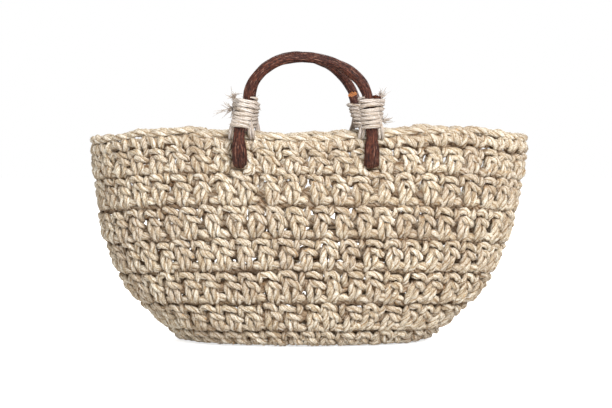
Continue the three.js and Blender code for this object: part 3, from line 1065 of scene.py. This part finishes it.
def yarn_of(settings):
    """The material of the crocheted yarn, made once."""
    name = "Crochet yarn"
    colours = colours_of(settings, "pale", "middle", "deep", "groove", "grit", "fleck", "shade")
    return bpy.data.materials.get(name) or yarn_material(name, YARN_RELIEF, *colours)


def twine_of(settings):
    """The material of the lashings, made once. Its flecks and painted inner shade take its own fibres'
    colours; the twine's lines keep full light, so that shade does not show.
    """
    name = "Lashing twine"
    colours = colours_of(settings, "pale", "middle", "deep", "groove", "grit", "middle", "deep")
    return bpy.data.materials.get(name) or yarn_material(name, TWINE_RELIEF, *colours)


def strand_sizes(settings, step, plies):
    """The inputs of the tree that plies a strand."""
    return {"Thickness": settings.thickness, "Twist length": settings.twist, "Step": step, **plies}


def crocheted(name, lines, settings, node):
    """A worked part of the body, which stands for a node of the frame."""
    sizes = strand_sizes(settings, settings.step, YARN_PLIES)
    piece = plied(name, lines, yarn_of(settings), sizes)
    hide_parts(node)
    return piece


def bend_with_handle(piece):
    """Bakes the piece's placement into its mesh."""
    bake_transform(piece)


class BASKET_OT_base(bpy.types.Operator):
    """Works the flat oval base in two rounds round its middle line"""

    bl_idname = "basket.base"
    bl_label = "Work the base"

    def execute(self, context):
        settings = context.scene.basket_bag.yarn
        rng = random.Random(settings.seed)
        lines = []
        edges = np.linspace(0, 1, len(BASE_STITCHES) + 1)
        for count, inner, outer in zip(BASE_STITCHES, edges, edges[1:]):
            place = base_place(inner, outer)
            for pattern in round_patterns(filled=True):
                lines.append(stitch_lines(pattern, count, place, rng))
        lines = laid_on_floor(lines, settings.thickness / MM)
        piece = crocheted("base_yarn", lines, settings, "base_oval")
        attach(piece, "bag")
        return {"FINISHED"}


class BASKET_OT_rounds(bpy.types.Operator):
    """Works the rounds of double crochet up the wall"""

    bl_idname = "basket.rounds"
    bl_label = "Work the wall"

    def execute(self, context):
        settings = context.scene.basket_bag.yarn
        low = 0
        for number, height in enumerate(ROUND_HEIGHTS, 1):
            rng = random.Random(settings.seed * 100 + number)
            if number < len(ROUND_HEIGHTS):
                self.whole_round(number, round_place(low, low + height), rng, settings)
            else:
                self.top_round(number, round_place(low, low + height - EDGING_DROP), rng, settings)
            low += height
        return {"FINISHED"}

    @staticmethod
    def whole_round(number, place, rng, settings):
        """A round of the wall in one piece."""
        count = ROUND_STITCHES[number - 1]
        thickness = settings.thickness / MM
        patterns = round_patterns(number <= FILLED_ROUNDS)
        lines = [stitch_lines(pattern, count, place, rng) for pattern in patterns]
        lines = laid_on_floor(part_round_canes(lines, cane_lines(), thickness), thickness)
        piece = crocheted(f"yarn_round_{number}", lines, settings, f"wall_round_{number}")
        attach(piece, "bag")

    @staticmethod
    def top_round(number, place, rng, settings):
        """The last round, in a rear and a front half, each a piece of its own."""
        count = ROUND_STITCHES[number - 1]
        for half, first, last in (("rear", 0, count // 2), ("front", count // 2, count)):
            patterns = round_patterns(filled=False)
            lines = [stitch_lines(pattern, count, place, rng, first, last) for pattern in patterns]
            lines = part_round_canes(lines, cane_lines(), settings.thickness / MM)
            piece = crocheted(f"yarn_round_{number}_{half}", lines, settings, f"wall_round_{number}")
            bend_with_handle(piece)


class BASKET_OT_rim(bpy.types.Operator):
    """Works the edging round and its top strands"""

    bl_idname = "basket.rim"
    bl_label = "Work the rim"

    def execute(self, context):
        settings = context.scene.basket_bag.yarn
        place = round_place(WALL_HEIGHT - EDGING_DROP, MOUTH_HEIGHT)
        count = RIM_STITCHES
        for half, first, last in (("rear", 0, count // 2), ("front", count // 2, count)):
            rng = random.Random(settings.seed * 200 + first)
            patterns = (EDGE_YARN, EDGE_BAR_YARN, EDGE_BACK_YARN)
            lines = [stitch_lines(pattern, count, place, rng, first, last) for pattern in patterns]
            lines = part_round_canes(lines, cane_lines(), settings.thickness / MM)
            for n in range(first, last):
                lines.extend(self.head_loops(n, count, place, rng))
            for points, *_ in lines:
                points[:, 2] += edging_shift(points[:, 0])
            piece = crocheted(f"yarn_rim_{half}", lines, settings, "rim_round")
            bend_with_handle(piece)
        return {"FINISHED"}

    @staticmethod
    def head_loops(n, count, place, rng):
        """The two loops of a stitch's head, which lie along the mouth over the next stitch."""
        loops = []
        lift = stray(rng, HEAD_LIFT)
        for pattern in (HEAD_FRONT, HEAD_BACK):
            across, up, depth = np.array(pattern).T
            strays = [[rng.uniform(-1, 1) for _ in pattern] for _ in HEAD_STRAY]
            sideways, upwards, inwards = (np.array(one) * most for one, most in zip(strays, HEAD_STRAY))
            points = place((n + across + sideways) / count, up + lift + upwards, depth + inwards)
            loops.append((points, np.array(HEAD_WIDTHS), 1.0))
        return loops


def ring_frames(line):
    """Directions across a line, carried along it without twist: width and thickness at each point."""
    width = np.array([1.0, 0.0, 0.0])
    frames = []
    for i in range(len(line)):
        along = line[min(i + 1, len(line) - 1)] - line[max(i - 1, 0)]
        along = along / np.linalg.norm(along)
        width = width - along * np.dot(width, along)
        width = width / np.linalg.norm(width)
        frames.append((width, np.cross(width, along)))
    return frames


def even_line(line, spacing):
    """Points at even lengths of a line, and those lengths."""
    lengths = np.concatenate([[0], np.cumsum(np.linalg.norm(np.diff(line, axis=0), axis=1))])
    places = np.linspace(0, lengths[-1], max(int(lengths[-1] / spacing), 2))
    return np.stack([np.interp(places, lengths, line[:, k]) for k in range(3)], axis=1), places


def bark_reach(c, s, place, number, wrinkle):
    """How far the bark stands from a cane's middle line, as a share of its radius."""
    swell = noise.noise(Vector((place / SWELL_LENGTH, number * SWELL_SHIFT, 0)))
    dent = noise.noise(Vector((c * DENT_ROUND, s * DENT_ROUND, place / DENT_LENGTH + number * DENT_SHIFT)))
    spot = Vector((c * WRINKLE_ROUND, s * WRINKLE_ROUND, place / WRINKLE_LENGTH + number * WRINKLE_SHIFT))
    fold = noise.noise(spot) + FINER_SHARE * noise.noise(spot * WRINKLE_FINER)
    height = SWELL_HEIGHT * swell + DENT_HEIGHT * dent + fold * wrinkle / MM
    return 1 + height / (CANE_DIAMETER / 2)


def nearest_cut(handle, line, places, i):
    """How far a ring is from the nearest cut, how the cut's slant shifts it, and the way into the cane."""
    to_left, to_right = places[i], places[-1] - places[i]
    end, to_cut = ("left", to_left) if to_left < to_right else ("right", to_right)
    slant = handle["stubs"][end]["slant"] * max(1 - to_cut / CUT_LENGTH, 0)
    into = (line[CUT_RINGS] - line[0]) if end == "left" else (line[-1 - CUT_RINGS] - line[-1])
    return to_cut, slant, into / np.linalg.norm(into)


def cane_rings(handle, number, line, places, settings):
    """The vertices of a cane's bark, ring by ring, with their places round and along it."""
    seat = seat_of(handle)
    vertices = []
    around = []
    along = []
    for i, (width, thick) in enumerate(ring_frames(line)):
        flat = hook_share(seat, line[i][2])
        half_width = (CANE_DIAMETER + (HOOK_WIDTH - CANE_DIAMETER) * flat) / 2
        half_thick = (CANE_DIAMETER + (HOOK_THICKNESS - CANE_DIAMETER) * flat) / 2
        to_cut, slant, into = nearest_cut(handle, line, places, i)
        for j in range(settings.sides):
            turn = j / settings.sides * 2 * math.pi
            c, s = math.cos(turn), math.sin(turn)
            reach = bark_reach(c, s, places[i], number, settings.wrinkle)
            offset = thick * c * half_thick * reach + width * s * half_width * reach
            facing = -offset[1] / half_thick
            spot = Vector((c * CUT_PORES, s * CUT_PORES, number * CUT_SHIFT + places[i]))
            ragged = CUT_RAGGED * noise.noise(spot) if to_cut == 0 else 0
            offset = offset + into * ((abs(slant) + slant * facing) / 2 + abs(ragged))
            vertices.append((line[i] + offset) * MM)
            around.append((c, s, 0))
            along.append(places[i] * MM)
    return vertices, around, along


def tube_faces(rings, sides):
    """The faces between the rings of a tube."""
    faces = []
    for i in range(rings - 1):
        for j in range(sides):
            k = (j + 1) % sides
            faces.append((i * sides + j, i * sides + k, (i + 1) * sides + k, (i + 1) * sides + j))
    return faces


class BASKET_OT_canes(bpy.types.Operator):
    """Makes the two bent cane handles with wrinkled bark and cut ends"""

    bl_idname = "basket.canes"
    bl_label = "Make the canes"

    def execute(self, context):
        settings = context.scene.basket_bag.cane
        bark = cane_material("Cane bark", *colours_of(settings, "bark", "worn", "dark", "scuff"))
        cut = cut_material("Cut cane", *colours_of(settings, "cut", "bark"))
        for number, handle in enumerate(HANDLES):
            piece = self.cane(handle, number, settings)
            piece.data.materials.append(bark)
            piece.data.materials.append(cut)
            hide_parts(handle["name"] + "_cane_handle")
            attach(piece, handle["name"] + "_handle")
        return {"FINISHED"}

    @staticmethod
    def cane(handle, number, settings):
        """A cane as one closed mesh: a tube of bark and a cut face at each end."""
        line, places = even_line(smooth_line(cane_knots(handle), CANE_FINE_STEPS), settings.ring / MM)
        vertices, around, along = cane_rings(handle, number, line, places, settings)
        sides = settings.sides
        faces = tube_faces(len(line), sides)
        bark_faces = len(faces)
        for start, flip in ((0, True), ((len(line) - 1) * sides, False)):
            centre = len(vertices)
            vertices.append(sum(vertices[start : start + sides]) / sides)
            around.append((0, 0, 0))
            along.append(along[start])
            for j in range(sides):
                k = (j + 1) % sides
                faces.append((centre, start + k, start + j) if flip else (centre, start + j, start + k))
        mesh = bpy.data.meshes.new(handle["name"] + "_cane")
        mesh.from_pydata(vertices, [], faces)
        mesh.attributes.new("around", "FLOAT_VECTOR", "POINT").data.foreach_set("vector", np.ravel(around))
        mesh.attributes.new("along", "FLOAT", "POINT").data.foreach_set("value", along)
        for index, polygon in enumerate(mesh.polygons):
            polygon.use_smooth = index < bark_faces
            polygon.material_index = 0 if index < bark_faces else 1
        return add_object(handle["name"] + "_cane", mesh)


def crossing(line, z):
    """The point where a line passes a height."""
    for a, b in zip(line, line[1:]):
        if (a[2] - z) * (b[2] - z) <= 0 and a[2] != b[2]:
            return a + (b - a) * (z - a[2]) / (b[2] - a[2])
    raise ValueError("the line does not reach that height")


def lash_line(handle, end, cane, thickness, seed):
    """The middle line of a lashing, wound up round a leg and its stub by hand, so that its turns wander."""
    seat = seat_of(handle)
    sign = -1 if end == "left" else 1
    from_stub = cane if end == "left" else cane[::-1]
    bend = next(i for i, point in enumerate(from_stub) if point[2] < seat["bend_z"])
    stub_part, leg_part = from_stub[:bend], from_stub[bend:]
    reach = CANE_DIAMETER / 2 + LASH_SEAT + thickness / 2
    noise.seed_set(seed)
    line = []
    for i in range(int(handle["lash_turns"] * LASH_STEPS) + 1):
        z = seat["lash_foot"] + i / LASH_STEPS * LASH_PITCH
        leg, stub = crossing(leg_part, z), crossing(stub_part, z)
        outward = leg - stub
        outward /= np.linalg.norm(outward)
        across = np.array([abs(outward[1]), -outward[0] * handle["side"], 0]) * sign
        turn = ((i + LASH_STEPS - LASH_START) % LASH_STEPS) / LASH_STEPS * 2 * math.pi
        centre = leg if turn < math.pi else stub
        wander = noise.noise_vector(Vector((i / WANDER_STEPS, seed, 0)))
        out = reach + LASH_WANDER * (0.5 + wander[0])
        line.append(centre - across * math.cos(turn) * out + outward * math.sin(turn) * out)
        line[-1][2] += LASH_WANDER * WANDER_RISE * wander[1]
    return np.array(line), sign


def rim_strands(handle, line, rng):
    """Strands that tie a lashing down over the edge of the mouth, on each side of the leg."""
    seat = seat_of(handle)
    middle = line[: len(line) // 2].mean(axis=0)
    away = {name: seat["leg_y"] * share for name, share in RIM_STRAND_SHARES.items()}
    start = seat["lash_foot"] + RIM_STRAND_START
    foot = seat["edge"] - RIM_STRAND_DEPTH
    strands = []
    for side in (-1, 1):
        for n in range(RIM_STRANDS):
            x = middle[0] + side * (RIM_STRAND_REACH + n * RIM_STRAND_SPACING) + stray(rng, RIM_STRAND_STRAY)
            knots = [
                (middle[0] + side * RIM_STRAND_REACH, away["top"], start + n * RIM_STRAND_RISE),
                (x, away["over"], seat["edge"] + RIM_STRAND_OVER),
                (x + side * RIM_STRAND_FLARE, away["low"], foot),
                (x, away["inside"], foot - RIM_STRAND_TUCK),
            ]
            strands.append((np.array(knots), RIM_STRAND_WIDTH, 1.0))
    return strands


def scatter(rng, spread):
    """A random offset, mostly within its spread."""
    return np.array([rng.gauss(0, spread) for _ in range(3)])


def frayed_end(root, way, fray, rng):
    """Loose fibres that spread from the end of the twine and curl."""
    hairs = []
    steps = np.linspace(0, 1, len(FRAY_WIDTHS))[:, None]
    for _ in range(fray["fibres"]):
        spread = scatter(rng, fray["spread"])
        curl = scatter(rng, FRAY_CURL)
        reach = fray["length"] * rng.uniform(*FRAY_REACH)
        start = root + scatter(rng, FRAY_ROOT)
        hairs.append((start + (way + spread) * reach * steps + curl * reach * steps**2, FRAY_WIDTHS, 1.0))
    return hairs


def lint(line, thickness, rng):
    """Short fibres that stand off the turns of a lashing."""
    hairs = []
    middle = line.mean(axis=0)
    widths = FRAY_WIDTHS[2:]
    steps = np.linspace(0, 1, len(widths))[:, None]
    for _ in range(LINT_HAIRS):
        point = line[rng.randrange(len(line))]
        out = (point - middle) * np.array([1, 1, 0])
        out /= np.linalg.norm(out)
        way = out * LINT_OUT + scatter(rng, LINT_SPREAD)
        start = point + out * thickness * LINT_ROOT
        hairs.append((start + way * LINT_LENGTH * rng.uniform(*LINT_REACH) * steps, widths, 1.0))
    return hairs


def outermost(line, share, sign):
    """The point of a lashing's turn, at a share of its height, that lies furthest out to the side."""
    height = line[0][2] + (line[-1][2] - line[0][2]) * share
    near = line[np.abs(line[:, 2] - height) < LASH_PITCH / 2]
    return near[np.argmax(near[:, 0] * sign)]


class BASKET_OT_lashings(bpy.types.Operator):
    """Winds the twine lashings round each leg and its stub, with frayed ends"""

    bl_idname = "basket.lashings"
    bl_label = "Wind the lashings"

    def execute(self, context):
        settings = context.scene.basket_bag.twine
        canes = cane_lines()
        sizes = strand_sizes(settings, TWINE_STEP, TWINE_PLIES)
        for number, handle in enumerate(HANDLES):
            for end in ("left", "right"):
                seed = settings.seed * 10 + number * 2 + (end == "left")
                lines = self.twine_lines(handle, end, canes[handle["name"]], settings.thickness / MM, seed)
                piece = plied(f"{handle['name']}_{end}_twine", lines, twine_of(settings), sizes)
                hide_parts(f"{handle['name']}_{end}_lashing")
                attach(piece, handle["name"] + "_handle")
        return {"FINISHED"}

    @staticmethod
    def twine_lines(handle, end, cane, thickness, seed):
        """A lashing's winding, the strands that tie it down, its lint, and its tails with their fibres."""
        rng = random.Random(seed)
        line, sign = lash_line(handle, end, cane, thickness, seed)
        from_end = np.minimum(np.arange(len(line)), np.arange(len(line))[::-1])
        widths = np.interp(from_end, [0, LASH_END_STEPS], [LASH_END_WIDTH, 1.0])
        lines = [(line, widths, 1.0), *rim_strands(handle, line, rng)]
        lines.extend(lint(line, thickness, rng))
        steps = np.linspace(0, TAIL_LENGTH, len(TAIL_WIDTHS))[:, None]
        for fray in FRAYS[end]:
            way = np.array([sign * fray["out"], handle["side"] * FRAY_OFF_WALL, fray["rise"]])
            tail = outermost(line, fray["at"], sign) + way * steps
            lines.append((tail, TAIL_WIDTHS, 1.0))
            lines.extend(frayed_end(tail[-2], way, fray, rng))
        return lines


class BASKET_OT_stage(bpy.types.Operator):
    """Sets the floor, the soft light and the camera"""

    bl_idname = "basket.stage"
    bl_label = "Set the stage"

    def execute(self, context):
        settings = context.scene.basket_bag.stage
        self.floor()
        self.camera(settings.lens)
        for lamp in LAMPS:
            self.lamp(**lamp, power=getattr(settings, lamp["name"]))
        self.sky(settings.sky)
        context.scene.view_settings.view_transform = "Standard"
        return {"FINISHED"}

    @staticmethod
    def floor():
        """A wide white floor under the bag."""
        mesh = bpy.data.meshes.new("floor")
        corners = [(x * FLOOR_REACH, y * FLOOR_REACH, 0) for x, y in ((-1, -1), (1, -1), (1, 1), (-1, 1))]
        mesh.from_pydata(corners, [], [(0, 1, 2, 3)])
        mesh.materials.append(backdrop_material("White floor", FLOOR_GLOW))
        add_object("floor", mesh)

    @staticmethod
    def camera(lens):
        """The camera, at the photograph's viewing angle."""
        data = bpy.data.cameras.new("Camera")
        data.lens = lens
        data.sensor_width = SENSOR_WIDTH
        data.clip_start = CLIP_START
        camera = add_object("Camera", data)
        camera.location = CAMERA_PLACE
        camera.rotation_euler = (math.radians(90 - CAMERA_DIP), 0, 0)
        bpy.context.scene.camera = camera

    @staticmethod
    def lamp(name, size, place, power):
        """A soft square lamp that faces the bag."""
        data = bpy.data.lights.new(name, "AREA")
        data.size = size
        data.energy = power
        lamp = add_object(name, data)
        lamp.location = place
        way = Vector(LAMP_TARGET) - Vector(place)
        lamp.rotation_euler = way.to_track_quat("-Z", "Y").to_euler()

    @staticmethod
    def sky(strength):
        """Soft light from all round, which the camera and reflections see as white."""
        world = bpy.data.worlds.new("Studio")
        bpy.context.scene.world = world
        world.use_nodes = True
        tree = world.node_tree
        more = math_node(tree, "MULTIPLY", seen_by_eye(tree), 1 - strength)
        light = {"Color": (1, 1, 1, 1), "Strength": math_node(tree, "ADD", more, strength)}
        set_inputs(tree, tree.nodes["Background"], light)


class BASKET_PT_panel(bpy.types.Panel):
    """Lists the bag's pieces and their settings"""

    bl_idname = "BASKET_PT_panel"
    bl_label = "Basket bag"
    bl_space_type = "VIEW_3D"
    bl_region_type = "UI"
    bl_category = "Basket bag"

    def draw(self, context):
        bag = context.scene.basket_bag
        for part in ("yarn", "cane", "twine", "stage"):
            group = getattr(bag, part)
            box = self.layout.box()
            box.label(text=part.capitalize())
            for name in type(group).__annotations__:
                box.prop(group, name)
        for operator in OPERATORS:
            self.layout.operator(operator.bl_idname)


OPERATORS = (
    BASKET_OT_stage,
    BASKET_OT_base,
    BASKET_OT_rounds,
    BASKET_OT_rim,
    BASKET_OT_canes,
    BASKET_OT_lashings,
)
CLASSES = (BagYarn, BagCane, BagTwine, BagStage, BasketBag, *OPERATORS, BASKET_PT_panel)


def register():
    for cls in CLASSES:
        bpy.utils.register_class(cls)
    bpy.types.Scene.basket_bag = bpy.props.PointerProperty(
        type=BasketBag, name="Basket bag", description="Settings of the basket bag"
    )


def unregister():
    del bpy.types.Scene.basket_bag
    for cls in reversed(CLASSES):
        bpy.utils.unregister_class(cls)


def main():
    register()
    bpy.ops.basket.stage()
    bpy.ops.basket.base()
    bpy.ops.basket.rounds()
    bpy.ops.basket.rim()
    bpy.ops.basket.canes()
    bpy.ops.basket.lashings()


if __name__ == "__main__":
    main()
